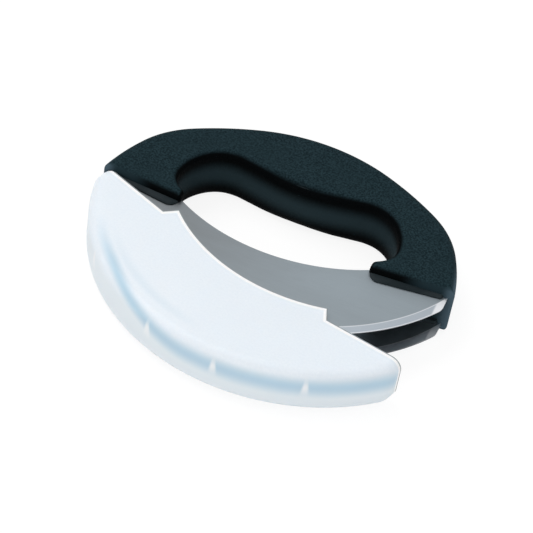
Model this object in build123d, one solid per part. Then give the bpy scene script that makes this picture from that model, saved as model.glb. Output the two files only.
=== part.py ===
from build123d import *
import os
from math import cos, hypot, radians, sin, sqrt

os.makedirs("parts", exist_ok=True)

# Two-bladed mezzaluna lying on the flat of its grip, with its blade guard swung part way open.
# All sizes are in mm. X runs to the right, Y towards the crown of the grip's arch, Z square to the blades.
# Shapes are drawn with y = 0 on the heel line, between the tips of the two heels, and z = 0 on the lower face.

# Grip: an arch with a hand hole, whose two heels hold the blades
grip_half_width = 93.4
crown_height = 72.4
grip_thickness = 28.8
hole_middle_height = 32.8
hole_half_width = 58.0
heel_reach = 50.0
heel_toe_height = 2.0
heel_toe_drop = 4.2
heel_tip_drop = 0.8
outer_edge_radius = 4.5
hole_edge_radius = 4.0
heel_edge_radius = 5.0
tip_corner_radius = 1.5
toe_corner_radius = 2.4
skin_wall = 2.2

# Where the arch's outer line passes its shoulder, in shares of the half width and of the crown's height
shoulder_shares = (0.715, 0.671)
shoulder_slope = -34.5
foot_slope = -80.0

# Where the hand hole's line passes its crest and its flank, in shares of its half width and of its middle height
crest_shares = (0.567, 1.154)
crest_slope = 11.3
flank_shares = (1, 0.43)
flank_slope = -87.0
nose_slope = -153.7

# Blades: two crescents of sheet steel, each with a tang in either heel
blade_thickness = 1.2
blade_gap = 16.0
blade_tip_inset = 3.1
blade_back_drop = 15.6
blade_depth = 63.4
blade_end_drop = 9.8
bevel_width = 4.3
edge_land = 0.2
blade_corner_radius = 8.0
blade_seat_depth = 2.9
tang_height = 15.7
tang_corner_radius = 2.0
tang_inner_share = 0.298
tang_outer_share = 0.828

# Necks: hard lips that clasp each blade in front of the heels
neck_toe_inset = 0.9
neck_tip_inset = 2.4
neck_toe_drop = 8.7
neck_tip_drop = 3.3
neck_toe_radius = 5.0
neck_tip_radius = 1.5
outer_lip = 1.2
inner_lip = 2.0
lip_chamfer = 0.7

# Steel pins through the tangs, and dowels that line up the two core halves
pin_radius = 2.0
pin_bite = 2.0
pin_place_shares = (0.24, 0.76)
pin_height_share = 0.55
dowel_radius = 2.0
dowel_length = 12.0
dowel_place_shares = [(-0.46, 0.955), (0, 1), (0.46, 0.955)]

# Guard: one moulding with two side walls and a rim, drawn shut
guard_wall = 1.4
guard_side_clearance = 0.4
guard_edge_clearance = 0.8
guard_tip_inset = 0.4
guard_tip_drop = 1.7
guard_notch_offset = 1.5
guard_notch_drop = 6.1
guard_peak_offset = 3.3
guard_peak_height = 0.4
guard_middle_drop = 12.7
guard_rim_radius = 5.8
guard_cavity_radius = 3.6
guard_corner_radius = 12.0
guard_notch_radius = 1.5
guard_tip_radius = 6.5

# Ribs that stiffen the guard's rim on the inside
rib_width = 1.2
rib_height = 1.0
rib_reach = 5.0
rib_depth = 0.5
rib_drop = 12.0
rib_angles = (-33.0, -4.5, 16.0, 40.0)

# Pivot at the left heel: two snap pips on the guard's inner faces, in holes in the outer lips
pivot_inset = 7.8
pivot_drop = 4.6
pip_radius = 1.6
pip_clearance = 0.06
pip_end_clearance = 0.3
pivot_boss_radius = 3.0
pivot_relief_radius = 5.9
swing_shown = 17.3

cut_overrun = 10.0

# Places that follow from the sizes above
mid_height = grip_thickness / 2
blade_bottom = mid_height + blade_gap / 2
blade_top = blade_bottom + blade_thickness
lip_top = blade_top + outer_lip
guard_ceiling = lip_top + guard_side_clearance
guard_top = guard_ceiling + guard_wall
middle_plane = Plane.XY.offset(mid_height)
grip_middle = (crown_height + hole_middle_height) / 2
heel_width = grip_half_width - heel_reach
tang_inner_reach = heel_reach + tang_inner_share * heel_width
tang_outer_reach = heel_reach + tang_outer_share * heel_width
blade_half_width = grip_half_width - blade_tip_inset
edge_rise = blade_depth - blade_end_drop
edge_radius = (blade_half_width**2 + edge_rise**2) / (2 * edge_rise)
edge_centre_height = edge_radius - blade_depth
neck_inner_reach = heel_reach + neck_toe_inset
neck_outer_reach = blade_half_width - neck_tip_inset
rim_radius = edge_radius + guard_edge_clearance + guard_wall
guard_half_width = grip_half_width - guard_tip_inset
guard_notch_reach = heel_reach + guard_notch_offset
guard_peak_reach = heel_reach - guard_peak_offset
pivot = (pivot_inset - grip_half_width, -pivot_drop)


def heel_front(reach):
    """Height of the heel's front wall over the heel line, at a distance from the middle."""
    along = (reach - heel_reach) / (grip_half_width - heel_reach)
    return -heel_toe_drop + (heel_toe_drop - heel_tip_drop) * along


def circle_height(radius, reach):
    """Height of the lower half of a circle about the blades' edge centre."""
    return edge_centre_height - sqrt(radius**2 - reach**2)


def span(x0, x1, y0, y1):
    """Rectangle between two pairs of limits."""
    return Pos((x0 + x1) / 2, (y0 + y1) / 2) * Rectangle(x1 - x0, y1 - y0)


def plate(face, bottom, top):
    """A face carried from one height to another."""
    return extrude(Pos(0, 0, bottom) * face, top - bottom)


def both_sides(solid):
    """A solid of the right heel, and its mirror image in the left heel."""
    return solid + mirror(solid, about=Plane.YZ)


def corners_at(sketch, reach, height):
    """Corners of a sketch at a place on the right, and at its mirror image."""
    near = min(abs(v.X - reach) + abs(v.Y - height) for v in sketch.vertices())
    return [v for v in sketch.vertices() if abs(abs(v.X) - reach) + abs(v.Y - height) <= near + tol]


def edges_at(solid, height, keep):
    """Edges that lie in the plane at a height and whose middle passes a test."""
    flat = [e for e in solid.edges() if abs(e.bounding_box().max.Z - height) < tol
            and abs(e.bounding_box().min.Z - height) < tol]
    return [e for e in flat if keep(e.position_at(0.5))]


tol = grip_thickness / 10000


# Grip body

def heading(slope, side):
    """Unit vector at an angle in degrees from the X axis, seen from the front or mirrored."""
    return Vector(side * cos(radians(slope)), sin(radians(slope)))


def arc_pair(start, start_run, end, end_run):
    """Two arcs that leave one point, and reach another, in given directions, and join smoothly between."""
    start, end = Vector(*start), Vector(*end)
    way, runs = end - start, start_run + end_run
    spread = 2 * (1 - start_run.dot(end_run))
    reach = (sqrt(way.dot(runs)**2 + spread * way.dot(way)) - way.dot(runs)) / spread
    joint = (start + end + (start_run - end_run) * reach) * 0.5
    first = TangentArc(start, joint, tangent=start_run)
    return [first, TangentArc(joint, end, tangent=first % 1)]


def hole_arcs(side):
    """Arcs of one side of the hand hole, from its middle down to the nose of the heel."""
    crest = (side * crest_shares[0] * hole_half_width, crest_shares[1] * hole_middle_height)
    flank = (side * flank_shares[0] * hole_half_width, flank_shares[1] * hole_middle_height)
    nose = (side * heel_reach, heel_toe_height)
    crest_run, flank_run = heading(crest_slope, side), heading(flank_slope, side)
    return [
        *arc_pair((0, hole_middle_height), heading(0, side), crest, crest_run),
        *arc_pair(crest, crest_run, flank, flank_run),
        *arc_pair(flank, flank_run, nose, heading(nose_slope, side)),
    ]


def grip_half_outline(side):
    """Lines of the grip's right half (side 1) or of its left half (side -1)."""
    shoulder = (side * shoulder_shares[0] * grip_half_width, shoulder_shares[1] * crown_height)
    shoulder_run = heading(shoulder_slope, side)
    tip = (side * grip_half_width, -heel_tip_drop)
    toe = (side * heel_reach, -heel_toe_drop)
    return [
        *arc_pair((0, crown_height), heading(0, side), shoulder, shoulder_run),
        *arc_pair(shoulder, shoulder_run, tip, heading(foot_slope, side)),
        Line(tip, toe),
        Line(toe, (side * heel_reach, heel_toe_height)),
        *hole_arcs(side),
    ]


def grip_outline():
    return make_face(Curve() + grip_half_outline(1) + grip_half_outline(-1))


def rounded_outline():
    outline = grip_outline()
    outline = fillet(corners_at(outline, grip_half_width, -heel_tip_drop), tip_corner_radius)
    toes = corners_at(outline, heel_reach, -heel_toe_drop) + corners_at(outline, heel_reach, heel_toe_height)
    return fillet(toes, toe_corner_radius)


def heel_edge_cutter():
    """What rounds the upper front edge of the right heel: a square corner less a quarter circle."""
    run = (grip_half_width - heel_reach, heel_toe_drop - heel_tip_drop)
    length = hypot(*run)
    along = (run[0] / length, run[1] / length, 0)
    inwards = (-along[1], along[0], 0)
    section = Plane(origin=(heel_reach, -heel_toe_drop, 0), x_dir=inwards, z_dir=along)
    centre = Pos(heel_edge_radius, grip_thickness - heel_edge_radius)
    corner = span(-cut_overrun, heel_edge_radius, grip_thickness - heel_edge_radius,
                  grip_thickness + cut_overrun) - centre * Circle(heel_edge_radius)
    return extrude(section * Pos(0, 0, -cut_overrun) * corner, length + 2 * cut_overrun)


def plan_corner_cutter(corner, run_a, run_b, radius):
    """What rounds an upright corner: the outside of a circle that touches both of its walls."""
    corner = Vector(*corner)
    run_a, run_b = Vector(run_a).normalized(), Vector(run_b).normalized()
    bisector = (run_a + run_b).normalized()
    sine = run_a.cross(bisector).length
    touch = radius * run_a.dot(bisector) / sine
    centre = corner + bisector * (radius / sine)
    start, end = corner + run_a * touch, corner + run_b * touch
    outwards_a, outwards_b = (start - centre).normalized(), (end - centre).normalized()
    ring = [start, start + outwards_a * radius, corner - bisector * radius, end + outwards_b * radius, end, centre]
    sketch = make_face(Polyline(*ring, close=True)) - Pos(centre.X, centre.Y) * Circle(radius)
    return plate(sketch, -cut_overrun, grip_thickness + cut_overrun)


def plan_corner_cutters():
    front = (grip_half_width - heel_reach, heel_toe_drop - heel_tip_drop)
    back = (-front[0], -front[1])
    tip = plan_corner_cutter((grip_half_width, -heel_tip_drop), -heading(foot_slope, 1), back, tip_corner_radius)
    toe = plan_corner_cutter((heel_reach, -heel_toe_drop), front, (0, 1), toe_corner_radius)
    nose = plan_corner_cutter((heel_reach, heel_toe_height), (0, -1), -heading(nose_slope, 1), toe_corner_radius)
    return tip + toe + nose


def grip_body():
    body = plate(grip_outline(), 0, grip_thickness)
    for height in (0, grip_thickness):
        arch_edges = edges_at(body, height, lambda p: p.Y > grip_middle)
        body = fillet(arch_edges, outer_edge_radius)
        hole_edges = edges_at(body, height, lambda p: abs(p.X) < hole_half_width and 0 < p.Y < grip_middle)
        body = fillet(hole_edges, hole_edge_radius)
    upper = both_sides(heel_edge_cutter())
    return body - upper - mirror(upper, about=middle_plane) - both_sides(plan_corner_cutters())


# Blades

def blade_outline():
    seat = heel_front(heel_reach) + blade_seat_depth
    end_top = (blade_half_width, heel_front(blade_half_width) + blade_seat_depth)
    end_corner = (blade_half_width, circle_height(edge_radius, blade_half_width))
    right = [
        (heel_reach, seat),
        (tang_inner_reach, heel_front(tang_inner_reach) + blade_seat_depth),
        (tang_inner_reach, tang_height),
        (tang_outer_reach, tang_height),
        (tang_outer_reach, heel_front(tang_outer_reach) + blade_seat_depth),
        end_top,
        end_corner,
    ]
    left = [(-x, y) for x, y in right]
    edges = [
        ThreePointArc(left[0], (0, -blade_back_drop), right[0]),
        *Polyline(*right).edges(),
        ThreePointArc(right[-1], (0, circle_height(edge_radius, 0)), left[-1]),
        *Polyline(*left).edges(),
    ]
    outline = make_face(Curve() + edges)
    outline = fillet(corners_at(outline, *end_corner), blade_corner_radius)
    tops = corners_at(outline, tang_inner_reach, tang_height) + corners_at(outline, tang_outer_reach, tang_height)
    return fillet(tops, tang_corner_radius)


def bevel_cutter(face_height):
    """Cone about the edge's centre that grinds one face of a blade down to the edge land."""
    drop = (blade_thickness - edge_land) / 2
    far = edge_radius + bevel_width
    start = edge_radius - bevel_width
    section = Plane(origin=(0, edge_centre_height, face_height), x_dir=(1, 0, 0), z_dir=(0, -1, 0))
    profile = make_face(Polyline((start, 0), (far, -2 * drop), (far, drop), (start, drop), close=True))
    return revolve(section * profile, axis=Axis((0, edge_centre_height, 0), (0, 0, 1)))


def blade_upper():
    blade = plate(blade_outline(), blade_bottom, blade_top)
    under = mirror(bevel_cutter(blade_top), about=Plane.XY.offset((blade_bottom + blade_top) / 2))
    return blade - bevel_cutter(blade_top) - under


# Necks, spacers, pins and core halves

def neck_outline():
    """Right neck: from the blade's seat inside the heel out to a slanted front line."""
    inner_top = heel_front(neck_inner_reach) + blade_seat_depth
    outer_top = heel_front(neck_outer_reach) + blade_seat_depth
    points = [(neck_inner_reach, inner_top), (neck_inner_reach, -neck_toe_drop),
              (neck_outer_reach, -neck_tip_drop), (neck_outer_reach, outer_top)]
    outline = make_face(Polyline(*points, close=True))
    outline = fillet(corners_at(outline, neck_inner_reach, -neck_toe_drop), neck_toe_radius)
    return fillet(corners_at(outline, neck_outer_reach, -neck_tip_drop), neck_tip_radius)


def heel_spacer_right():
    """Block between the two tangs, with an inner lip under the upper blade and one over the lower blade."""
    front_inner = heel_front(tang_inner_reach) + skin_wall
    front_outer = heel_front(tang_outer_reach) + skin_wall
    points = [(tang_inner_reach, front_inner), (tang_outer_reach, front_outer),
              (tang_outer_reach, tang_height), (tang_inner_reach, tang_height)]
    block = plate(make_face(Polyline(*points, close=True)), mid_height - blade_gap / 2, blade_bottom)
    lip = plate(neck_outline(), blade_bottom - inner_lip, blade_bottom)
    return block + lip + mirror(lip, about=middle_plane) - pins_right()


def pins_right():
    tang_width = tang_outer_reach - tang_inner_reach
    ends = blade_top + pin_bite
    places = [(tang_inner_reach + share * tang_width, pin_height_share * tang_height)
              for share in pin_place_shares]
    return [Pos(x, y, mid_height) * Cylinder(pin_radius, 2 * (ends - mid_height)) for x, y in places]


def crown_dowels():
    return [Pos(x * grip_half_width, y * grip_middle, mid_height) * Cylinder(dowel_radius, dowel_length)
            for x, y in dowel_place_shares]


def core_block(bottom, top):
    return plate(offset(rounded_outline(), -skin_wall), bottom, top)


def neck_lips():
    """Outer lips over the upper blade, with the pivot's boss on the left one."""
    lip = plate(neck_outline(), blade_top, lip_top)
    front = edges_at(lip, lip_top, lambda p: p.Y < heel_front(p.X) - tol)
    boss = plate(Pos(*pivot) * Circle(pivot_boss_radius), blade_top, lip_top)
    return both_sides(chamfer(front, lip_chamfer)) + boss


def core_upper():
    core = core_block(mid_height, grip_thickness - skin_wall) + neck_lips()
    pip_hole = plate(Pos(*pivot) * Circle(pip_radius + pip_clearance), blade_top, lip_top)
    spacer = heel_spacer_right()
    pins = pins_right()
    inside = [spacer, *pins, mirror(spacer, about=Plane.YZ), *[mirror(p, about=Plane.YZ) for p in pins]]
    return core - blade_upper() - inside - crown_dowels() - pip_hole


def grip_skin_upper():
    upper_half = plate(span(-cut_overrun - grip_half_width, grip_half_width + cut_overrun,
                            -cut_overrun - grip_half_width, crown_height + cut_overrun),
                       mid_height, grip_thickness + cut_overrun)
    spacers = both_sides(heel_spacer_right())
    core = core_block(skin_wall, grip_thickness - skin_wall) + neck_lips()
    return (grip_body() & upper_half) - core - spacers - blade_upper()


# Guard

def guard_outline():
    notch = (guard_notch_reach, -guard_notch_drop)
    peak = (guard_peak_reach, guard_peak_height)
    tip = (guard_half_width, -guard_tip_drop)
    corner = (guard_half_width, circle_height(rim_radius, guard_half_width))
    right = [peak, notch, tip, corner]
    left = [(-x, y) for x, y in right]
    edges = [
        ThreePointArc(left[0], (0, -guard_middle_drop), right[0]),
        *Polyline(*right).edges(),
        ThreePointArc(right[-1], (0, circle_height(rim_radius, 0)), left[-1]),
        *Polyline(*left).edges(),
    ]
    outline = make_face(Curve() + edges)
    return fillet(corners_at(outline, *corner), guard_corner_radius)


def guard_cavity():
    inside = rim_radius - guard_wall
    reach = guard_half_width - guard_wall
    corner = (reach, circle_height(inside, reach))
    points = [corner, (reach, cut_overrun), (-reach, cut_overrun), (-corner[0], corner[1])]
    edges = [*Polyline(*points).edges(), ThreePointArc(points[-1], (0, circle_height(inside, 0)), corner)]
    outline = make_face(Curve() + edges)
    outline = fillet(corners_at(outline, *corner), guard_corner_radius - guard_wall)
    cavity = plate(outline, grip_thickness - guard_ceiling, guard_ceiling)
    for height in (grip_thickness - guard_ceiling, guard_ceiling):
        rim_edges = edges_at(cavity, height, lambda p: p.Y < cut_overrun - tol)
        cavity = fillet(rim_edges, guard_cavity_radius)
    return cavity


def guard_rib(angle):
    """L-shaped rib inside the upper half of the guard, under the ceiling and down the rim."""
    inside = rim_radius - guard_wall
    root = guard_wall / 2
    ceiling = plate(span(-rib_width / 2, rib_width / 2, -inside - root, rib_reach - inside),
                    guard_ceiling - rib_height, guard_ceiling + root)
    wall = plate(span(-rib_width / 2, rib_width / 2, -inside - root, rib_depth - inside),
                 guard_ceiling - rib_drop, guard_ceiling + root)
    return Pos(0, edge_centre_height) * Rot(0, 0, angle) * (ceiling + wall)


def blade_guard():
    outline = guard_outline()
    body = plate(outline, grip_thickness - guard_top, guard_top)
    for height in (grip_thickness - guard_top, guard_top):
        ends = edges_at(body, height, lambda p: abs(p.X) > guard_half_width - tol or p.Y < -guard_middle_drop - tol)
        body = fillet(ends, guard_rim_radius)
    trimmed = fillet(corners_at(outline, guard_notch_reach, -guard_notch_drop), guard_notch_radius)
    body = body & plate(trimmed, 0, grip_thickness)
    notch_run = (guard_half_width - guard_notch_reach, guard_tip_drop - guard_notch_drop)
    body = body - plan_corner_cutter((-guard_half_width, -guard_tip_drop), (0, -1), notch_run, guard_tip_radius)
    relief_top = blade_top + guard_side_clearance
    relief = plate(Pos(*pivot) * Circle(pivot_relief_radius), grip_thickness - relief_top, relief_top)
    pip_length = guard_ceiling - blade_top - pip_end_clearance
    pip = Pos(*pivot, guard_ceiling - pip_length / 2) * Cylinder(pip_radius, pip_length)
    shut = body - guard_cavity() - relief + pip + mirror(pip, about=middle_plane)
    for angle in rib_angles:
        rib = guard_rib(angle) & body
        shut = shut + rib + mirror(rib, about=middle_plane)
    return shut.rotate(Axis((*pivot, 0), (0, 0, 1)), -swing_shown)


# The assembly

def assembly():
    lower = lambda solid: mirror(solid, about=middle_plane)
    skin = grip_skin_upper()
    core = core_upper()
    blade = blade_upper() - pins_right() - [mirror(p, about=Plane.YZ) for p in pins_right()]
    spacer = heel_spacer_right()
    pins = pins_right()
    return {
        "grip_skin_upper": skin,
        "grip_skin_lower": lower(skin),
        "core_upper": core,
        "core_lower": lower(core),
        "blade_upper": blade,
        "blade_lower": lower(blade),
        "heel_spacer_right": spacer,
        "heel_spacer_left": mirror(spacer, about=Plane.YZ),
        "tang_pins": Compound(children=[*pins, *[mirror(p, about=Plane.YZ) for p in pins]]),
        "crown_dowels": Compound(children=crown_dowels()),
        "blade_guard": blade_guard(),
    }


# The row's origin is the middle of the grip, on the flat lower face that the tool lies on
for name, piece in assembly().items():
    export_step(Pos(0, -grip_middle, 0) * piece, f"parts/{name}.step")
    print(name, round(piece.volume, 1))
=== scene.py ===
import math
import bmesh
import bpy
import numpy as np
from mathutils import Matrix, Vector


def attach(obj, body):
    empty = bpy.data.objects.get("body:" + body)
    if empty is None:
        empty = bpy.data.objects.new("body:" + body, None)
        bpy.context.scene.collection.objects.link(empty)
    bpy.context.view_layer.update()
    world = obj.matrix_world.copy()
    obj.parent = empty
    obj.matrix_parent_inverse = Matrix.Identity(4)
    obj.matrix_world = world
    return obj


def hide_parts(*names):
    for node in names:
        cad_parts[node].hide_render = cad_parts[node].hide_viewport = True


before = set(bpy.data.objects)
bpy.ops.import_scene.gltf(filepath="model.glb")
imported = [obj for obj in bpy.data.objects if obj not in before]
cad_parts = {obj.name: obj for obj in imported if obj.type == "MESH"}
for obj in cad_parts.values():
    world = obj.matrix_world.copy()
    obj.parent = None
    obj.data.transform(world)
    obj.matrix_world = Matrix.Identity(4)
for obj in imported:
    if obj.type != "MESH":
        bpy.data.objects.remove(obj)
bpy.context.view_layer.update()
print("frame loaded:", len(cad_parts), "nodes")

# Shapes are drawn in mm, as on the drawing: y = 0 on the heel line and z = 0 on the lower face.
# toRow brings them to the row's frame in metres, where y = 0 is the middle of the grip.
drawing = {"gripMiddle": 52.6, "midHeight": 14.4}


def toRow(points):
    moved = np.array(points, float)
    moved[..., 1] -= drawing["gripMiddle"]
    return moved / 1000


# Outline helpers

def heading(degrees):
    return np.array([math.cos(math.radians(degrees)), math.sin(math.radians(degrees))])


def arcPoints(start, startRun, end, count=60):
    # circle through start and end that leaves start along startRun: turn = 2 * angle between run and chord
    start, end = np.array(start, float), np.array(end, float)
    chord = end - start
    length = np.hypot(*chord)
    turn = 2 * math.atan2(startRun[0] * chord[1] - startRun[1] * chord[0], startRun @ chord)
    endRun = np.array([math.cos(turn) * startRun[0] - math.sin(turn) * startRun[1],
                       math.sin(turn) * startRun[0] + math.cos(turn) * startRun[1]])
    steps = np.linspace(0, 1, count)[:, None]
    if abs(turn) < 1e-6:
        return start + steps * chord, endRun
    radius = length / (2 * math.sin(turn / 2))
    centre = start + radius * np.array([-startRun[1], startRun[0]])
    swept = steps[:, 0] * turn
    arm = start - centre
    points = centre + np.stack([np.cos(swept) * arm[0] - np.sin(swept) * arm[1],
                                np.sin(swept) * arm[0] + np.cos(swept) * arm[1]], 1)
    return points, endRun


def arcPair(start, startAngle, end, endAngle, count=60):
    # two arcs that meet with one tangent, both ends in given directions, equal tangent lengths
    start, end = np.array(start, float), np.array(end, float)
    a, b = heading(startAngle), heading(endAngle)
    way = end - start
    spread = 2 * (1 - a @ b)
    reach = (math.sqrt((way @ (a + b)) ** 2 + spread * (way @ way)) - way @ (a + b)) / spread
    joint = (start + end + (a - b) * reach) / 2
    first, run = arcPoints(start, a, joint, count)
    second, _ = arcPoints(joint, run, end, count)
    return np.vstack([first, second[1:]])


def cornerArc(corner, runA, runB, radius, count=24):
    # arc that touches both walls of a corner, from the wall along runA to the wall along runB
    corner = np.array(corner, float)
    a, b = np.array(runA) / np.hypot(*runA), np.array(runB) / np.hypot(*runB)
    half = math.acos(np.clip(a @ b, -1, 1)) / 2
    touch = radius / math.tan(half)
    centre = corner + (a + b) / np.hypot(*(a + b)) * radius / math.sin(half)
    start, end = corner + a * touch - centre, corner + b * touch - centre
    first = math.atan2(start[1], start[0])
    turn = math.atan2(start[0] * end[1] - start[1] * end[0], start @ end)
    swept = first + np.linspace(0, 1, count) * turn
    return centre + radius * np.stack([np.cos(swept), np.sin(swept)], 1)


def resample(line, places):
    # points at given lengths along a polyline
    steps = np.r_[0, np.cumsum(np.hypot(*np.diff(line, axis=0).T))]
    return np.stack([np.interp(places, steps, line[:, k]) for k in (0, 1)], 1)


def lineLength(line):
    return np.hypot(*np.diff(line, axis=0).T).sum()


def distanceTo(points, line):
    # shortest distance from each point to a polyline, and how far along the line it is found
    flat = points.reshape(-1, 1, 2)
    a, d = line[None, :-1], np.diff(line, axis=0)[None]
    share = np.clip(((flat - a) * d).sum(2) / np.maximum((d * d).sum(2), 1e-12), 0, 1)
    gap = np.hypot(*np.moveaxis(flat - a - share[..., None] * d, 2, 0))
    nearest = gap.argmin(1)
    steps = np.r_[0, np.cumsum(np.hypot(*d[0].T))]
    rows = np.arange(len(flat))
    along = steps[nearest] + share[rows, nearest] * np.diff(steps)[nearest]
    return gap[rows, nearest].reshape(points.shape[:-1]), along.reshape(points.shape[:-1])


def roundDrop(distance, radius):
    # how far a quarter-round edge has dropped at a distance from its wall
    inside = np.clip(1 - distance / radius, 0, 1)
    return radius * (1 - np.sqrt(1 - inside ** 2))


def meshObject(name, vertices, faces):
    # smooth closed shell with its faces turned outwards
    mesh = bpy.data.meshes.new(name)
    mesh.from_pydata(vertices.tolist(), [], faces.tolist())
    mesh.validate()
    shell = bmesh.new()
    shell.from_mesh(mesh)
    bmesh.ops.recalc_face_normals(shell, faces=shell.faces)
    shell.to_mesh(mesh)
    shell.free()
    mesh.polygons.foreach_set("use_smooth", np.full(len(mesh.polygons), True))
    piece = bpy.data.objects.new(name, mesh)
    bpy.context.scene.collection.objects.link(piece)
    return piece


def sharpen(piece, corners):
    # edges whose two ends are both among the given vertices get a hard shading line
    mesh = piece.data
    marked = np.zeros(len(mesh.vertices), bool)
    marked[corners] = True
    ends = np.empty(len(mesh.edges) * 2, np.int32)
    mesh.edges.foreach_get("vertices", ends)
    hard = marked[ends.reshape(-1, 2)].all(1)
    layer = mesh.attributes.get("sharp_edge") or mesh.attributes.new("sharp_edge", "BOOLEAN", "EDGE")
    layer.data.foreach_set("value", hard)


def gridFaces(columns, rows, start=0, flip=False):
    # quads of a grid whose vertex number is column * rows + row
    i, j = np.meshgrid(np.arange(columns - 1), np.arange(rows - 1), indexing="ij")
    first = start + i * rows + j
    quads = np.stack([first, first + rows, first + rows + 1, first + 1], 2).reshape(-1, 4)
    return quads[:, ::-1] if flip else quads


def rimIndices(columns, rows, start=0):
    # vertex numbers round the edge of a grid, once round
    grid = start + np.arange(columns * rows).reshape(columns, rows)
    return np.concatenate([grid[:-1, 0], grid[-1, :-1], grid[:0:-1, -1], grid[0, :0:-1]])


# Grip skin

gripShape = {
    "crown": 72.4, "thickness": 28.8,
    "shoulder": (66.781, 48.580), "shoulderSlope": -34.5, "footSlope": -80.0,
    "holeMiddle": 32.8, "crest": (32.886, 37.851), "crestSlope": 11.3,
    "flank": (58.0, 14.104), "flankSlope": -87.0, "nose": (50.0, 2.0), "noseSlope": -153.7,
    "toe": (50.0, -4.2), "tip": (93.4, -0.8),
    "toeCorner": 2.4, "tipCorner": 1.5, "outerRound": 4.5, "frontRound": 5.0,
    "holeRoundAt": (0, 10, 20, 29, 37, 42, 50, 90), "holeRound": (8.0, 6.8, 5.2, 4.7, 4.3, 4.35, 3.8, 3.6),
    "blendPower": 6, "cornerGap": 0.05,
}
# columns in percent of a wall's length from the heel's front: from, to and how many. Rows: how many over an
# edge round and over the flat, and how wide the two strips with close rows are
gripMesh = {
    "frontColumns": (0, 7, 29), "archColumns": (8, 100, 84), "roundRows": 13, "flatRows": 12,
    "innerZone": 8.82, "outerZone": 6.0,
}


def gripWalls(shape):
    # right half: inner wall from the hole's middle to the heel's front, outer wall from the crown to there
    frontRun = np.array(shape["tip"]) - np.array(shape["toe"])
    hole = np.vstack([
        arcPair((0, shape["holeMiddle"]), 0, shape["crest"], shape["crestSlope"]),
        arcPair(shape["crest"], shape["crestSlope"], shape["flank"], shape["flankSlope"])[1:],
        arcPair(shape["flank"], shape["flankSlope"], shape["nose"], shape["noseSlope"])[1:],
    ])
    noseArc = cornerArc(shape["nose"], -heading(shape["noseSlope"]), (0, -1), shape["toeCorner"])
    touch = np.hypot(*(noseArc[0] - np.array(shape["nose"])))
    hole = hole[np.hypot(*(hole - np.array(shape["nose"])).T) > touch + shape["cornerGap"]]
    toeArc = cornerArc(shape["toe"], (0, 1), frontRun, shape["toeCorner"])
    inner = np.vstack([hole, noseArc, toeArc])
    arch = np.vstack([
        arcPair((0, shape["crown"]), 0, shape["shoulder"], shape["shoulderSlope"]),
        arcPair(shape["shoulder"], shape["shoulderSlope"], shape["tip"], shape["footSlope"])[1:],
    ])
    tipArc = cornerArc(shape["tip"], -heading(shape["footSlope"]), -frontRun, shape["tipCorner"])
    touch = np.hypot(*(tipArc[0] - np.array(shape["tip"])))
    arch = arch[np.hypot(*(arch - np.array(shape["tip"])).T) > touch + shape["cornerGap"]]
    return inner, np.vstack([arch, tipArc])


def gripSkin(name, upper):
    # height over the middle plane = half thickness - drop, where the drop of the three edge rounds
    # (hole, arch and heel front) is combined as the sixth root of the sum of their sixth powers.
    # Columns run from the left heel over the crown to the right one, rows from the hole's wall to the arch's,
    # close together over the edge rounds.
    shape, grid = gripShape, gripMesh
    inner, outer = gripWalls(shape)
    fromFront = np.concatenate([np.linspace(*grid["frontColumns"]), np.linspace(*grid["archColumns"])]) / 100
    spacing = 1 - fromFront[::-1]
    innerLine = resample(inner, spacing * lineLength(inner))
    outerLine = resample(outer, spacing * lineLength(outer))
    chord = outerLine - innerLine
    width = np.hypot(*chord.T)[:, None]
    quarter = 1 - np.cos(np.linspace(0, np.pi / 2, grid["roundRows"]))
    nearInner = grid["innerZone"] * quarter[None] / width
    nearOuter = 1 - grid["outerZone"] * quarter[None, ::-1] / width
    between = np.linspace(0, 1, grid["flatRows"])[None, 1:-1]
    between = nearInner[:, -1:] + between * (nearOuter[:, :1] - nearInner[:, -1:])
    share = np.concatenate([nearInner, between, nearOuter], 1)
    plan = innerLine[:, None] + share[..., None] * chord[:, None]
    toInner, alongInner = distanceTo(plan, inner)
    toOuter, _ = distanceTo(plan, outer)
    front = np.vstack([inner[-1], outer[-1]])
    toFront, _ = distanceTo(plan, front)
    holeX = np.interp(alongInner, np.r_[0, np.cumsum(np.hypot(*np.diff(inner, axis=0).T))], inner[:, 0])
    holeRound = np.interp(holeX, shape["holeRoundAt"], shape["holeRound"])
    drops = np.stack([roundDrop(toInner, holeRound), roundDrop(toOuter, shape["outerRound"]),
                      roundDrop(toFront, shape["frontRound"])])
    drop = (drops ** shape["blendPower"]).sum(0) ** (1 / shape["blendPower"])
    height = shape["thickness"] / 2 - drop
    right = np.concatenate([plan, height[..., None]], 2)
    left = right[:0:-1] * [-1, 1, 1]
    sheet = np.concatenate([left, right])
    columns, rows = sheet.shape[:2]
    side = 1 if upper else -1
    sheet[..., 2] = drawing["midHeight"] + side * sheet[..., 2]
    top = sheet.reshape(-1, 3)
    flat = top * [1, 1, 0] + [0, 0, drawing["midHeight"]]
    ring = rimIndices(columns, rows)
    nextRing = np.roll(ring, -1)
    count = len(top)
    faces = gridFaces(columns, rows, flip=upper)
    closing = gridFaces(columns, rows, count, flip=not upper)
    walls = np.stack([ring, nextRing, nextRing + count, ring + count], 1)
    walls = walls if not upper else walls[:, ::-1]
    piece = meshObject(name, toRow(np.vstack([top, flat])), np.vstack([faces, closing, walls]))
    sharpen(piece, ring + count)
    return piece


# Smooth copies of the solids whose own faces show

copySettings = {
    "merge": 0.000005, "flatAngle": 0.2, "hardAngle": 32.0, "segments": 2,
    "edgeRound": {"core_upper": 0.45, "core_lower": 0.45, "blade_guard": 0.3},
}


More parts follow.
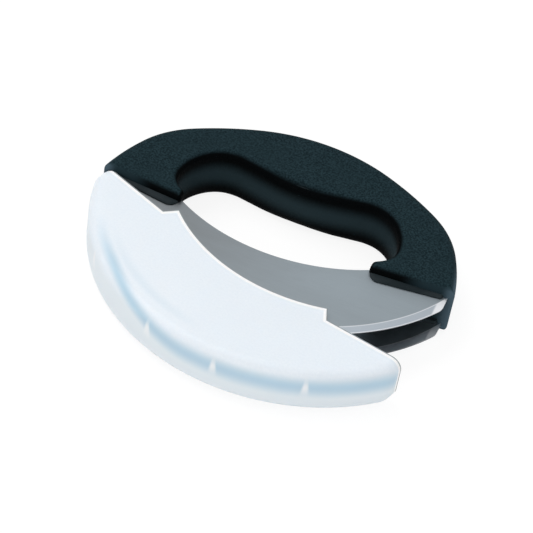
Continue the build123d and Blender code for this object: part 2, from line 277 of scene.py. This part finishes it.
def smoothCopy(name, nodeName):
    # copy of a solid's mesh with its seams merged, its curved faces smooth and its hard edges rounded over
    piece = bpy.data.objects.new(name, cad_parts[nodeName].data.copy())
    bpy.context.scene.collection.objects.link(piece)
    shell = bmesh.new()
    shell.from_mesh(piece.data)
    bmesh.ops.remove_doubles(shell, verts=shell.verts, dist=copySettings["merge"])
    bmesh.ops.dissolve_limit(shell, angle_limit=math.radians(copySettings["flatAngle"]),
                             verts=shell.verts, edges=shell.edges)
    shell.to_mesh(piece.data)
    shell.free()
    piece.data.polygons.foreach_set("use_smooth", np.full(len(piece.data.polygons), True))
    piece.data.set_sharp_from_angle(angle=math.radians(copySettings["hardAngle"]))
    rounding = piece.modifiers.new("edges", "BEVEL")
    rounding.width = copySettings["edgeRound"][nodeName] / 1000
    rounding.segments = copySettings["segments"]
    rounding.limit_method = "ANGLE"
    rounding.angle_limit = math.radians(copySettings["hardAngle"])
    rounding.harden_normals = True
    return piece


# Materials

def newMaterial(name):
    material = bpy.data.materials.new(name)
    material.use_nodes = True
    tree = material.node_tree
    return material, tree, tree.nodes["Principled BSDF"]


def addNode(tree, kind, **settings):
    # new node; in0, in1 and so on are its inputs by number, other settings are its own properties
    node = tree.nodes.new("ShaderNode" + kind)
    for key, value in settings.items():
        if key.startswith("in") and key[2:].isdigit():
            if hasattr(value, "is_output"):
                tree.links.new(value, node.inputs[int(key[2:])])
            else:
                node.inputs[int(key[2:])].default_value = value
        else:
            setattr(node, key, value)
    return node


def maths(tree, operation, a, b=0.0, c=0.0):
    return addNode(tree, "Math", operation=operation, in0=a, in1=b, in2=c).outputs[0]


def ranged(tree, value, low, high, toLow=0.0, toHigh=1.0):
    # smooth step from toLow at low to toHigh at high; low may be the larger of the two
    return addNode(tree, "MapRange", interpolation_type="SMOOTHSTEP",
                   in0=value, in1=low, in2=high, in3=toLow, in4=toHigh).outputs[0]


def band(tree, value, low, middle, high):
    # 0 at low and high, 1 at middle
    return maths(tree, "MULTIPLY", ranged(tree, value, low, middle), ranged(tree, value, high, middle))


noiseSpan = (0.3, 0.7)


def noise(tree, place, scale, detail, roughness):
    # noise with most of its values spread over 0..1, and the plain one for bumps
    plain = addNode(tree, "TexNoise", in0=place, in2=scale, in3=detail, in4=roughness).outputs[0]
    return ranged(tree, plain, *noiseSpan), plain


def blend(tree, share, first, second):
    # first colour at share 0, second at share 1
    node = addNode(tree, "Mix", data_type="RGBA")
    tree.links.new(share, node.inputs[0])
    for socket, value in ((node.inputs[6], first), (node.inputs[7], second)):
        if hasattr(value, "is_output"):
            tree.links.new(value, socket)
        else:
            socket.default_value = (*value, 1)
    return node.outputs[2]


def grainGroup():
    # fine grain of a moulded surface: speckle 0..1, cloud 0..1 and a bump normal
    group = bpy.data.node_groups.new("fineGrain", "ShaderNodeTree")
    face = group.interface
    face.new_socket("Grain scale", in_out="INPUT", socket_type="NodeSocketFloat")
    face.new_socket("Bump height", in_out="INPUT", socket_type="NodeSocketFloat")
    face.new_socket("Speckle", in_out="OUTPUT", socket_type="NodeSocketFloat")
    face.new_socket("Cloud", in_out="OUTPUT", socket_type="NodeSocketFloat")
    face.new_socket("Normal", in_out="OUTPUT", socket_type="NodeSocketVector")
    source = group.nodes.new("NodeGroupInput")
    sink = group.nodes.new("NodeGroupOutput")
    place = addNode(group, "TexCoord").outputs["Object"]
    speckle, fine = noise(group, place, source.outputs["Grain scale"], detail=2.0, roughness=0.6)
    cloud, _ = noise(group, place, scale=45.0, detail=3.0, roughness=0.5)
    bump = addNode(group, "Bump", in0=1.0, in1=source.outputs["Bump height"])
    group.links.new(fine, bump.inputs["Height"])
    group.links.new(speckle, sink.inputs["Speckle"])
    group.links.new(cloud, sink.inputs["Cloud"])
    group.links.new(bump.outputs[0], sink.inputs["Normal"])
    return group


def levelGroup():
    # level: 0 on an upright wall, 1 on a level face, from the height of the surface's normal
    group = bpy.data.node_groups.new("levelFace", "ShaderNodeTree")
    face = group.interface
    face.new_socket("From", in_out="INPUT", socket_type="NodeSocketFloat")
    face.new_socket("To", in_out="INPUT", socket_type="NodeSocketFloat")
    face.new_socket("Level", in_out="OUTPUT", socket_type="NodeSocketFloat")
    source = group.nodes.new("NodeGroupInput")
    sink = group.nodes.new("NodeGroupOutput")
    normal = addNode(group, "SeparateXYZ", in0=addNode(group, "TexCoord").outputs["Normal"]).outputs[2]
    level = ranged(group, maths(group, "ABSOLUTE", normal), source.outputs["From"], source.outputs["To"])
    group.links.new(level, sink.inputs["Level"])
    return group


fineGrain = grainGroup()
levelFace = levelGroup()


def useGrain(tree, scale, height):
    node = tree.nodes.new("ShaderNodeGroup")
    node.node_tree = fineGrain
    node.inputs["Grain scale"].default_value = scale
    node.inputs["Bump height"].default_value = height
    return node


def useLevel(tree, low, high):
    node = tree.nodes.new("ShaderNodeGroup")
    node.node_tree = levelFace
    node.inputs["From"].default_value = low
    node.inputs["To"].default_value = high
    return node.outputs["Level"]


def planeLength(tree, place, centre, stretch=(1, 1, 0)):
    # length of the way from a centre, seen from above, after its two runs are stretched
    arm = addNode(tree, "VectorMath", operation="SUBTRACT", in0=place, in1=(*centre, 0)).outputs[0]
    arm = addNode(tree, "VectorMath", operation="MULTIPLY", in0=arm, in1=stretch).outputs[0]
    return addNode(tree, "VectorMath", operation="LENGTH", in0=arm).outputs["Value"]


# the flats carry the speckle; the rounds and walls are smooth and darker by painted shade, darkest just under
# the hole's edge; the arch's outer ends carry a painted highlight
skinLook = {
    "dark": (0.0035, 0.0105, 0.0135), "light": (0.0185, 0.0375, 0.0455), "worn": (0.0106, 0.0234, 0.0289),
    "edge": (0.0004, 0.0010, 0.0013), "wall": (0.0180, 0.0320, 0.0380), "outer": (0.0120, 0.0240, 0.0300),
    "end": (0.060, 0.095, 0.120), "wornShare": 0.35, "roughness": (0.62, 0.80), "grainScale": 1050.0,
    "bump": 0.00005, "specular": 0.03, "level": (0.62, 0.98), "deepAt": (0.0095, 0.001),
    "holeCentre": (0.0, -0.0426), "ovalShare": (13.3, 23.8, 0.0), "ovalEdge": (0.92, 1.08),
    "endHighlightAt": (0.086, 0.0925),
}


def skinMaterial():
    look = skinLook
    material, tree, shader = newMaterial("softSkin")
    grain = useGrain(tree, look["grainScale"], look["bump"])
    place = addNode(tree, "TexCoord").outputs["Object"]
    x, _, z = addNode(tree, "SeparateXYZ", in0=place).outputs
    speckled = blend(tree, grain.outputs["Speckle"], look["dark"], look["light"])
    wear = maths(tree, "MULTIPLY", grain.outputs["Cloud"], look["wornShare"])
    top = blend(tree, wear, speckled, look["worn"])
    # painted shade on the hole's walls: near black just under the edge rounds, lighter towards the middle
    # plane
    height = maths(tree, "ABSOLUTE", maths(tree, "SUBTRACT", z, drawing["midHeight"] / 1000))
    wall = blend(tree, ranged(tree, height, *look["deepAt"]), look["edge"], look["wall"])
    # an oval round the hand hole, 1 on its line, parts the hole's wall from the arch's plain outer side
    spread = planeLength(tree, place, look["holeCentre"], look["ovalShare"])
    # painted highlight: towards the arch's outer ends the plain outer side turns to the pale end colour
    outer = blend(tree, ranged(tree, maths(tree, "ABSOLUTE", x), *look["endHighlightAt"]), look["outer"], look["end"])
    sidesShadeAndHighlight = blend(tree, ranged(tree, spread, *look["ovalEdge"]), wall, outer)
    colour = blend(tree, useLevel(tree, *look["level"]), sidesShadeAndHighlight, top)
    tree.links.new(colour, shader.inputs["Base Color"])
    roughness = ranged(tree, grain.outputs["Speckle"], 0, 1, *look["roughness"])
    tree.links.new(roughness, shader.inputs["Roughness"])
    shader.inputs["Specular IOR Level"].default_value = look["specular"]
    tree.links.new(grain.outputs["Normal"], shader.inputs["Normal"])
    return material


coreLook = {
    "dark": (0.010, 0.016, 0.019), "light": (0.026, 0.034, 0.038),
    "roughness": (0.38, 0.48), "grainScale": 900.0, "bump": 0.00001, "specular": 0.07,
}


def coreMaterial():
    look = coreLook
    material, tree, shader = newMaterial("hardCore")
    grain = useGrain(tree, look["grainScale"], look["bump"])
    colour = blend(tree, grain.outputs["Cloud"], look["dark"], look["light"])
    tree.links.new(colour, shader.inputs["Base Color"])
    roughness = ranged(tree, grain.outputs["Speckle"], 0, 1, *look["roughness"])
    tree.links.new(roughness, shader.inputs["Roughness"])
    shader.inputs["Specular IOR Level"].default_value = look["specular"]
    tree.links.new(grain.outputs["Normal"], shader.inputs["Normal"])
    return material


# the edge circle's centre and the radii where the bevel starts and ends, in the row's metres
bladeLook = {
    "edgeCentre": (0.0, -0.01314), "edgeRadius": 0.10286, "bevelStart": 0.09856, "bevelSoft": 0.0001,
    "face": (0.21, 0.225, 0.235), "faceStreakAndSheen": (0.325, 0.375, 0.41), "sheenFrom": -0.07, "sheenTo": 0.05,
    "bevel": (0.45, 0.50, 0.55), "rim": (0.85, 0.87, 0.9), "side": (0.12, 0.13, 0.14), "level": (0.2, 0.6),
    "streaks": (9.0, 55.0, 1.0), "streakShare": 0.16, "scratches": (120.0, 2600.0, 1.0),
    "scratchBump": 0.00001, "bumpShare": 0.25, "lineWidth": 0.00045, "lineShare": 0.7,
    "keen": (0.0009, 0.0004), "keenShare": 0.6, "facetStart": 0.0862, "facetSoft": 0.0012,
    "roughness": (0.34, 0.46),
}


def steelMaterial():
    look = bladeLook
    material, tree, shader = newMaterial("bladeSteel")
    place = addNode(tree, "TexCoord").outputs["Object"]
    x = addNode(tree, "SeparateXYZ", in0=place).outputs[0]
    radius = planeLength(tree, place, look["edgeCentre"])
    # faint cloudy streaks and fine grinding scratches, both noise drawn out along the blade
    streakPlace = addNode(tree, "Mapping", in0=place, in3=look["streaks"]).outputs[0]
    streak, _ = noise(tree, streakPlace, scale=1.0, detail=5.0, roughness=0.6)
    finePlace = addNode(tree, "Mapping", in0=place, in3=look["scratches"]).outputs[0]
    _, fine = noise(tree, finePlace, scale=1.0, detail=2.0, roughness=0.5)
    # painted reflection: the face grows paler from left to right, with a little of the streaks mixed in
    paintedSheen = ranged(tree, x, look["sheenFrom"], look["sheenTo"])
    streaksAndSheen = maths(tree, "MULTIPLY_ADD", streak, look["streakShare"],
                   maths(tree, "MULTIPLY", paintedSheen, 1 - look["streakShare"]))
    face = blend(tree, streaksAndSheen, look["face"], look["faceStreakAndSheen"])
    start, soft, wide = look["bevelStart"], look["bevelSoft"], look["lineWidth"]
    onBevel = ranged(tree, radius, start - soft, start + soft)
    ground = blend(tree, onBevel, face, look["bevel"])
    # painted highlights: a bright line where the bevel starts, a bright cutting edge and a bright facet at
    # the blade's ends
    line = band(tree, radius, start - wide, start, start + wide)
    lined = blend(tree, maths(tree, "MULTIPLY", line, look["lineShare"]), ground, look["rim"])
    keen = ranged(tree, radius, *[look["edgeRadius"] - inset for inset in look["keen"]])
    facet = look["facetStart"]
    tipward = ranged(tree, maths(tree, "ABSOLUTE", x), facet, facet + look["facetSoft"])
    bright = maths(tree, "MAXIMUM", maths(tree, "MULTIPLY", keen, look["keenShare"]),
                   maths(tree, "MULTIPLY", tipward, onBevel))
    edged = blend(tree, bright, lined, look["rim"])
    colour = blend(tree, useLevel(tree, *look["level"]), look["side"], edged)
    tree.links.new(colour, shader.inputs["Base Color"])
    shader.inputs["Metallic"].default_value = 1.0
    tree.links.new(ranged(tree, fine, *noiseSpan, *look["roughness"]), shader.inputs["Roughness"])
    bump = addNode(tree, "Bump", in0=look["bumpShare"], in1=look["scratchBump"])
    tree.links.new(fine, bump.inputs["Height"])
    tree.links.new(bump.outputs[0], shader.inputs["Normal"])
    return material


# places in the row's metres, measured on the guard turned back to its shut place
guardLook = {
    "face": (0.80, 0.88, 0.965), "faceDim": (0.75, 0.835, 0.93), "dimShare": 0.6,
    "wall": (0.755, 0.835, 0.90), "band": (0.46, 0.63, 0.77), "rib": (0.86, 0.90, 0.94),
    "lip": (0.97, 0.985, 1.0), "gapShadow": (0.22, 0.25, 0.26),
    "grainScale": 900.0, "bump": 0.000006, "roughness": (0.34, 0.46), "specular": 0.25,
    "subsurface": 0.3, "depth": (0.004, 0.005, 0.006),
    "pivot": (-0.0856, -0.0572), "swing": -17.3, "top": 0.0266, "upperHalf": (0.0095, 0.0125),
    "rimRadius": 0.10506, "rimCentre": (0.0, -0.01314), "rimZone": (0.0085, 0.002), "wallFold": (0.0, -0.008),
    "bandAngle": (-30.0, 8.0), "bandPlace": (0.0050, -0.0080), "bandWidth": (0.0052, 0.0080),
    "bandEnd": (-48.0, -22.0), "softPlace": (0.0075, 0.011, 0.0155), "softStart": (-45.0, -20.0),
    "softEnd": (12.0, -8.0), "softShare": 0.2,
    "ribAngles": (-33.0, -4.5, 16.0, 40.0), "ribTaper": -100.0, "ribWidth": 3.05, "ribSoft": 0.25,
    "ribHeight": (0.0105, 0.0185, 0.0252), "ribShare": 0.9,
    "bowCentre": (0.0, 0.02449), "bowRadius": 0.08979,
    "peak": (0.0467, -0.0522), "notch": (0.0515, -0.0587), "tip": (0.093, -0.0543),
    "fineLine": (0.0026, 0.0031, 0.0036), "fineShare": 0.6,
    "lipAt": (0.0022, 0.0018), "gapShadowAt": (0.0008, 0.0004),
}


def belowLine(tree, x, y, start, end):
    # distance from the line start-end, positive on the side a quarter turn clockwise from its run
    run = np.array(end) - np.array(start)
    a, b = run[1] / np.hypot(*run), -run[0] / np.hypot(*run)
    return maths(tree, "ADD", maths(tree, "MULTIPLY_ADD", x, a, -a * start[0] - b * start[1]),
                 maths(tree, "MULTIPLY", y, b))


def edgeDistance(tree, turned, x, y):
    # distance in from the open edge: the bow in the middle, and the two runs of each heel's step
    look = guardLook
    side = maths(tree, "ABSOLUTE", x)
    bow = maths(tree, "SUBTRACT", planeLength(tree, turned, look["bowCentre"]), look["bowRadius"])
    step = maths(tree, "MAXIMUM", belowLine(tree, side, y, look["peak"], look["notch"]),
                 belowLine(tree, side, y, look["notch"], look["tip"]))
    return maths(tree, "MINIMUM", bow, step)


def paintedShadeBand(tree, angle, fold, z):
    # painted shade: a darker blue band crosses from the face at the left end down to the wall at the right,
    # and a fainter one lies further in at the left. fold is counted from the upper face, so both end at the
    # middle of the wall.
    look = guardLook
    middle = ranged(tree, angle, *look["bandAngle"], *look["bandPlace"])
    reach = ranged(tree, angle, *look["bandAngle"], *look["bandWidth"])
    off = maths(tree, "DIVIDE", maths(tree, "SUBTRACT", fold, middle), reach)
    main = maths(tree, "MULTIPLY", ranged(tree, maths(tree, "ABSOLUTE", off), 1.0, 0.0),
                 ranged(tree, angle, *look["bandEnd"]))
    softRun = maths(tree, "MULTIPLY", ranged(tree, angle, *look["softStart"]),
                    ranged(tree, angle, *look["softEnd"], 0, look["softShare"]))
    soft = maths(tree, "MULTIPLY", band(tree, fold, *look["softPlace"]), softRun)
    return maths(tree, "MULTIPLY", maths(tree, "MAXIMUM", main, soft), ranged(tree, z, *look["upperHalf"]))


def paintedRibWedges(tree, angle, z):
    # painted light through the frosted shell: the ribs inside show as pale wedges; their width in degrees
    # grows downwards
    look = guardLook
    width = maths(tree, "MULTIPLY_ADD", z, look["ribTaper"], look["ribWidth"])
    wedges = 0.0
    for rib in look["ribAngles"]:
        off = maths(tree, "ABSOLUTE", maths(tree, "SUBTRACT", angle, rib))
        near = ranged(tree, maths(tree, "DIVIDE", off, width), 1.0, look["ribSoft"])
        wedges = maths(tree, "MAXIMUM", wedges, near)
    return maths(tree, "MULTIPLY", wedges, band(tree, z, *look["ribHeight"]))


def guardMaterial():
    look = guardLook
    material, tree, shader = newMaterial("frostedPlastic")
    place = addNode(tree, "TexCoord").outputs["Object"]
    turned = addNode(tree, "VectorRotate", rotation_type="Z_AXIS", in0=place,
                     in1=(*look["pivot"], 0), in3=math.radians(-look["swing"])).outputs[0]
    x, y, z = addNode(tree, "SeparateXYZ", in0=turned).outputs
    inward = maths(tree, "SUBTRACT", look["rimRadius"], planeLength(tree, turned, look["rimCentre"]))
    down = maths(tree, "SUBTRACT", look["rimCentre"][1], y)
    angle = maths(tree, "DEGREES", maths(tree, "ARCTAN2", x, down))
    # fold = distance inwards on the face less the drop below it, so it runs on over the edge round
    fold = maths(tree, "SUBTRACT", inward, maths(tree, "SUBTRACT", look["top"], z))
    nearRim = ranged(tree, inward, *look["rimZone"])
    grain = useGrain(tree, look["grainScale"], look["bump"])
    dim = maths(tree, "MULTIPLY", grain.outputs["Speckle"], look["dimShare"])
    flat = blend(tree, dim, look["face"], look["faceDim"])
    # painted shade: the face turns to the slightly darker wall tone over the edge round
    wallShaded = blend(tree, ranged(tree, fold, *look["wallFold"]), flat, look["wall"])
    shadeBanded = blend(tree, paintedShadeBand(tree, angle, fold, z), wallShaded, look["band"])
    wedges = maths(tree, "MULTIPLY", paintedRibWedges(tree, angle, z), nearRim)
    ribbed = blend(tree, maths(tree, "MULTIPLY", wedges, look["ribShare"]), shadeBanded, look["rib"])
    # the open edge: a fine line inside it, a painted highlight along its rounded top and a painted shadow on
    # its end face, for the shaded gap over the blade
    fromEdge = edgeDistance(tree, turned, x, y)
    fine = maths(tree, "MULTIPLY", band(tree, fromEdge, *look["fineLine"]), look["fineShare"])
    lined = blend(tree, fine, ribbed, look["faceDim"])
    lipped = blend(tree, ranged(tree, fromEdge, *look["lipAt"]), lined, look["lip"])
    colour = blend(tree, ranged(tree, fromEdge, *look["gapShadowAt"]), lipped, look["gapShadow"])
    tree.links.new(colour, shader.inputs["Base Color"])
    tree.links.new(ranged(tree, grain.outputs["Cloud"], 0, 1, *look["roughness"]), shader.inputs["Roughness"])
    tree.links.new(grain.outputs["Normal"], shader.inputs["Normal"])
    shader.inputs["Specular IOR Level"].default_value = look["specular"]
    shader.inputs["Subsurface Weight"].default_value = look["subsurface"]
    shader.inputs["Subsurface Radius"].default_value = look["depth"]
    shader.inputs["Subsurface Scale"].default_value = 1.0
    return material


softSkin = skinMaterial()
hardCore = coreMaterial()
bladeSteel = steelMaterial()
frostedPlastic = guardMaterial()

# the CAD nodes' own finishes, by how their names start; the first that fits holds
nodeFinish = {"blade_guard": frostedPlastic, "blade_": bladeSteel, "tang_": bladeSteel, "grip_": softSkin,
              "core_": hardCore, "heel_": hardCore, "crown_": hardCore}
for nodeName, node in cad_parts.items():
    node.data.materials.clear()
    node.data.materials.append(next(nodeFinish[start] for start in nodeFinish if nodeName.startswith(start)))
print("finishes made")


def dress(piece, nodeName, body, material):
    # finish of a new piece, the body it rides on and the node it stands for
    piece.data.materials.clear()
    piece.data.materials.append(material)
    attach(piece, body)
    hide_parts(nodeName)


dress(gripSkin("gripSkinUpper", True), "grip_skin_upper", "handle", softSkin)
dress(gripSkin("gripSkinLower", False), "grip_skin_lower", "handle", softSkin)
print("grip skins made")
dress(smoothCopy("neckCoreUpper", "core_upper"), "core_upper", "handle", hardCore)
dress(smoothCopy("neckCoreLower", "core_lower"), "core_lower", "handle", hardCore)
print("cores made")
dress(smoothCopy("bladeGuard", "blade_guard"), "blade_guard", "guard", frostedPlastic)
print("guard made")

# Floor, light and camera

studio = {
    "azimuth": 15.524, "elevation": 42.996, "roll": 9.801, "distance": 1.036, "focalPixels": 2083.0,
    "target": (-0.00181, -0.05246, 0.0),
    "imageWidth": 533, "sensorWidth": 36, "clip": (0.01, 50),
    "floorHalf": 4.0, "floorDrop": 0.0002, "floorColour": 0.92, "floorRoughness": 0.9,
    "floorGlow": 0.87, "floorDiffuse": 0.16, "skyTop": 0.74, "skyLow": 0.28, "skyFull": 0.8,
}
# place, what it points at, size in metres and power in watts
lamps = {
    "keyLight": ((-0.9, 0.15, 1.5), (0, -0.05, 0), (1.4, 1.0), 12.3),
    "rimLight": ((1.0, 0.9, 0.6), (0.05, 0, 0), (0.5, 0.5), 1.2),
    "frontLight": ((0.3, -1.5, 0.7), (0, -0.05, 0), (1.4, 0.8), 6.7),
}


def seenRays(tree):
    # rays that see the white background: straight from the camera or mirrored
    ray = addNode(tree, "LightPath")
    return maths(tree, "MAXIMUM", ray.outputs["Is Camera Ray"], ray.outputs["Is Glossy Ray"])


def studioFloor():
    mesh = bpy.data.meshes.new("studioFloor")
    half = studio["floorHalf"]
    corners = [(-half, -half, 0), (half, -half, 0), (half, half, 0), (-half, half, 0)]
    mesh.from_pydata(corners, [], [(0, 1, 2, 3)])
    floor = bpy.data.objects.new("studioFloor", mesh)
    bpy.context.scene.collection.objects.link(floor)
    floor.location.z = -studio["floorDrop"]
    material, tree, shader = newMaterial("paleFloor")
    nodes, links = tree.nodes, tree.links
    shader.inputs["Base Color"].default_value = (*[studio["floorColour"]] * 3, 1)
    shader.inputs["Roughness"].default_value = studio["floorRoughness"]
    white = nodes.new("ShaderNodeEmission")
    white.inputs["Strength"].default_value = studio["floorGlow"]
    faint = nodes.new("ShaderNodeBsdfDiffuse")
    faint.inputs["Color"].default_value = (*[studio["floorDiffuse"]] * 3, 1)
    add = nodes.new("ShaderNodeAddShader")
    mix = nodes.new("ShaderNodeMixShader")
    links.new(faint.outputs[0], add.inputs[0])
    links.new(white.outputs[0], add.inputs[1])
    links.new(seenRays(tree), mix.inputs[0])
    links.new(shader.outputs[0], mix.inputs[1])
    links.new(add.outputs[0], mix.inputs[2])
    links.new(mix.outputs[0], nodes["Material Output"].inputs["Surface"])
    mesh.materials.append(material)


def studioWorld():
    world = bpy.data.worlds.new("studioWorld")
    bpy.context.scene.world = world
    world.use_nodes = True
    tree = world.node_tree
    nodes, links = tree.nodes, tree.links
    light = nodes["Background"]
    light.inputs["Color"].default_value = (1, 1, 1, 1)
    # diffuse light falls off from the zenith to the horizon
    upwards = addNode(tree, "SeparateXYZ", in0=addNode(tree, "TexCoord").outputs["Generated"]).outputs[2]
    links.new(ranged(tree, upwards, 0.0, studio["skyFull"], studio["skyLow"], studio["skyTop"]),
              light.inputs["Strength"])
    white = nodes.new("ShaderNodeBackground")
    white.inputs["Strength"].default_value = 1.0
    mix = nodes.new("ShaderNodeMixShader")
    links.new(seenRays(tree), mix.inputs[0])
    links.new(light.outputs[0], mix.inputs[1])
    links.new(white.outputs[0], mix.inputs[2])
    links.new(mix.outputs[0], nodes["World Output"].inputs["Surface"])


def softBox(name, place, target, size, power):
    lamp = bpy.data.lights.new(name, "AREA")
    lamp.shape = "RECTANGLE"
    lamp.size, lamp.size_y = size
    lamp.energy = power
    box = bpy.data.objects.new(name, lamp)
    bpy.context.scene.collection.objects.link(box)
    box.location = place
    box.rotation_mode = "QUATERNION"
    box.rotation_quaternion = (Vector(target) - Vector(place)).to_track_quat("-Z", "Y")


def studioCamera(settings):
    a, e, r = (math.radians(settings[k]) for k in ("azimuth", "elevation", "roll"))
    back = Vector((math.sin(a) * math.cos(e), -math.cos(a) * math.cos(e), math.sin(e)))
    across = Vector((math.cos(a), math.sin(a), 0))
    up = back.cross(across)
    right = across * math.cos(r) + up * math.sin(r)
    top = up * math.cos(r) - across * math.sin(r)
    place = Vector(settings["target"]) + back * settings["distance"]
    lens = bpy.data.cameras.new("photoCamera")
    lens.sensor_width = settings["sensorWidth"]
    lens.lens = settings["focalPixels"] / settings["imageWidth"] * settings["sensorWidth"]
    lens.clip_start, lens.clip_end = settings["clip"]
    camera = bpy.data.objects.new("photoCamera", lens)
    bpy.context.scene.collection.objects.link(camera)
    turn = Matrix((right, top, back)).transposed()
    camera.matrix_world = Matrix.Translation(place) @ turn.to_4x4()
    bpy.context.scene.camera = camera


studioFloor()
studioWorld()
for lampName, lamp in lamps.items():
    softBox(lampName, *lamp)
studioCamera(studio)
bpy.context.scene.view_settings.view_transform = "Standard"
print("studio ready")
